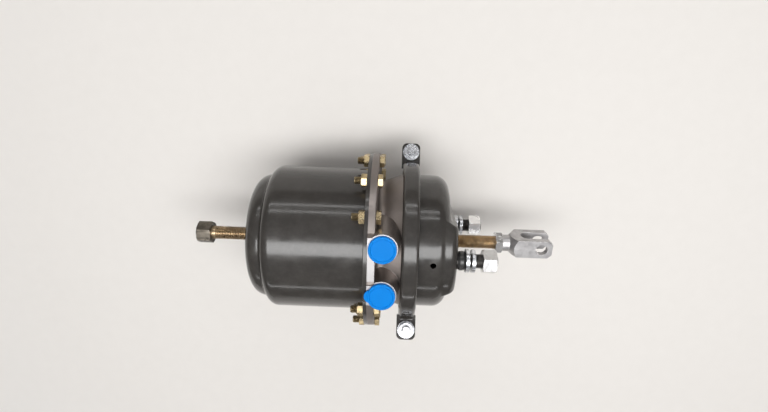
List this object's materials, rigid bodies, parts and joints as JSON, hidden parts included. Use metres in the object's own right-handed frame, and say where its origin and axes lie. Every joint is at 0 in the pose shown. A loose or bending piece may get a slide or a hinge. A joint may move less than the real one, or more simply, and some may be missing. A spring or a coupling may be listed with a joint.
{
  "type": "air brake chamber",
  "caption": "Combination air brake chamber: a clamped diaphragm service chamber with push rod and clevis, backed by a spring parking chamber with a release bolt.",
  "frame": {"origin": "where the push rod's axis crosses the mounting face of the service housing", "axes": "+X along the push rod, out of the mounting face; +Z towards the air ports' faces and along the row of mounting studs; +Y completes a right-handed frame"},
  "size_m": [0.4268, 0.2237, 0.2082],
  "materials": {
    "black_paint": "semi-gloss, light orange peel",
    "cast_grey": "die-cast, grey coat, bright on machined lands",
    "zinc_white": "white zinc plate",
    "zinc_yellow": "yellow zinc plate",
    "clevis_steel": "satin zinc plate",
    "black_collar": "gloss black",
    "rubber_black": "moulded",
    "plastic_dark": "moulded",
    "plastic_blue": "moulded",
    "cast_aluminium": "die-cast",
    "spring_steel": "coated spring steel",
    "plain_steel": "turned"
  },
  "bodies": {
    "chamber": {"service_housing": "black_paint", "rod_guide": "plastic_dark", "mounting_studs": "zinc_white", "stud_collars": "black_collar", "stud_washers": "zinc_white", "stud_nuts": "zinc_white", "diaphragm": "rubber_black", "return_spring": "spring_steel", "clamp_half_upper": "black_paint", "clamp_half_lower": "black_paint", "clamp_bolts": "zinc_white", "clamp_washers": "zinc_white", "clamp_nuts": "zinc_white", "centre_flange": "cast_grey", "port_cap_service": "plastic_blue", "port_cap_parking": "plastic_blue", "flange_bolts": "zinc_yellow", "flange_nuts": "zinc_yellow", "rod_bush": "plastic_dark", "rod_seal": "rubber_black", "spring_housing": "black_paint", "housing_seal": "rubber_black", "release_nut": "plain_steel", "power_spring": "spring_steel"},
    "push_rod_assembly": {"push_plate": "zinc_white", "push_rod": "zinc_yellow", "lock_nut": "zinc_white", "clevis": "clevis_steel"},
    "parking_piston": {"spring_piston": "cast_aluminium", "piston_seal": "rubber_black", "piston_guide_ring": "plastic_dark", "piston_tube": "plain_steel", "thrust_pad": "plain_steel"},
    "release_carrier": {"release_thrust_washer": "plain_steel"},
    "release_screw": {"release_bolt": "zinc_yellow"}
  },
  "joints": [
    {"name": "service_stroke", "type": "slide", "parent": "chamber", "child": "push_rod_assembly", "axis": [1, 0, 0], "range_m": [0, 0.057], "stiffness_N_per_m": 3900, "springref_m": -0.035, "deforming": ["return_spring", "diaphragm"]},
    {"name": "piston_relief", "type": "slide", "parent": "chamber", "child": "parking_piston", "axis": [1, 0, 0], "range_m": [-0.003, 0], "stiffness_N_per_m": 32000, "springref_m": 0.003, "deforming": ["power_spring"]},
    {"name": "release_travel", "type": "slide", "parent": "chamber", "child": "release_carrier", "axis": [1, 0, 0], "range_m": [0, 0.056]},
    {"name": "release_turn", "type": "hinge", "parent": "release_carrier", "child": "release_screw", "pos_m": [-0.29, 0, 0], "axis": [1, 0, 0], "range_deg": [0, 10080]}
  ],
  "couplings": [
    {"joint": "release_turn", "follows": "release_travel", "rad_per_m": 3141.6}
  ]
}
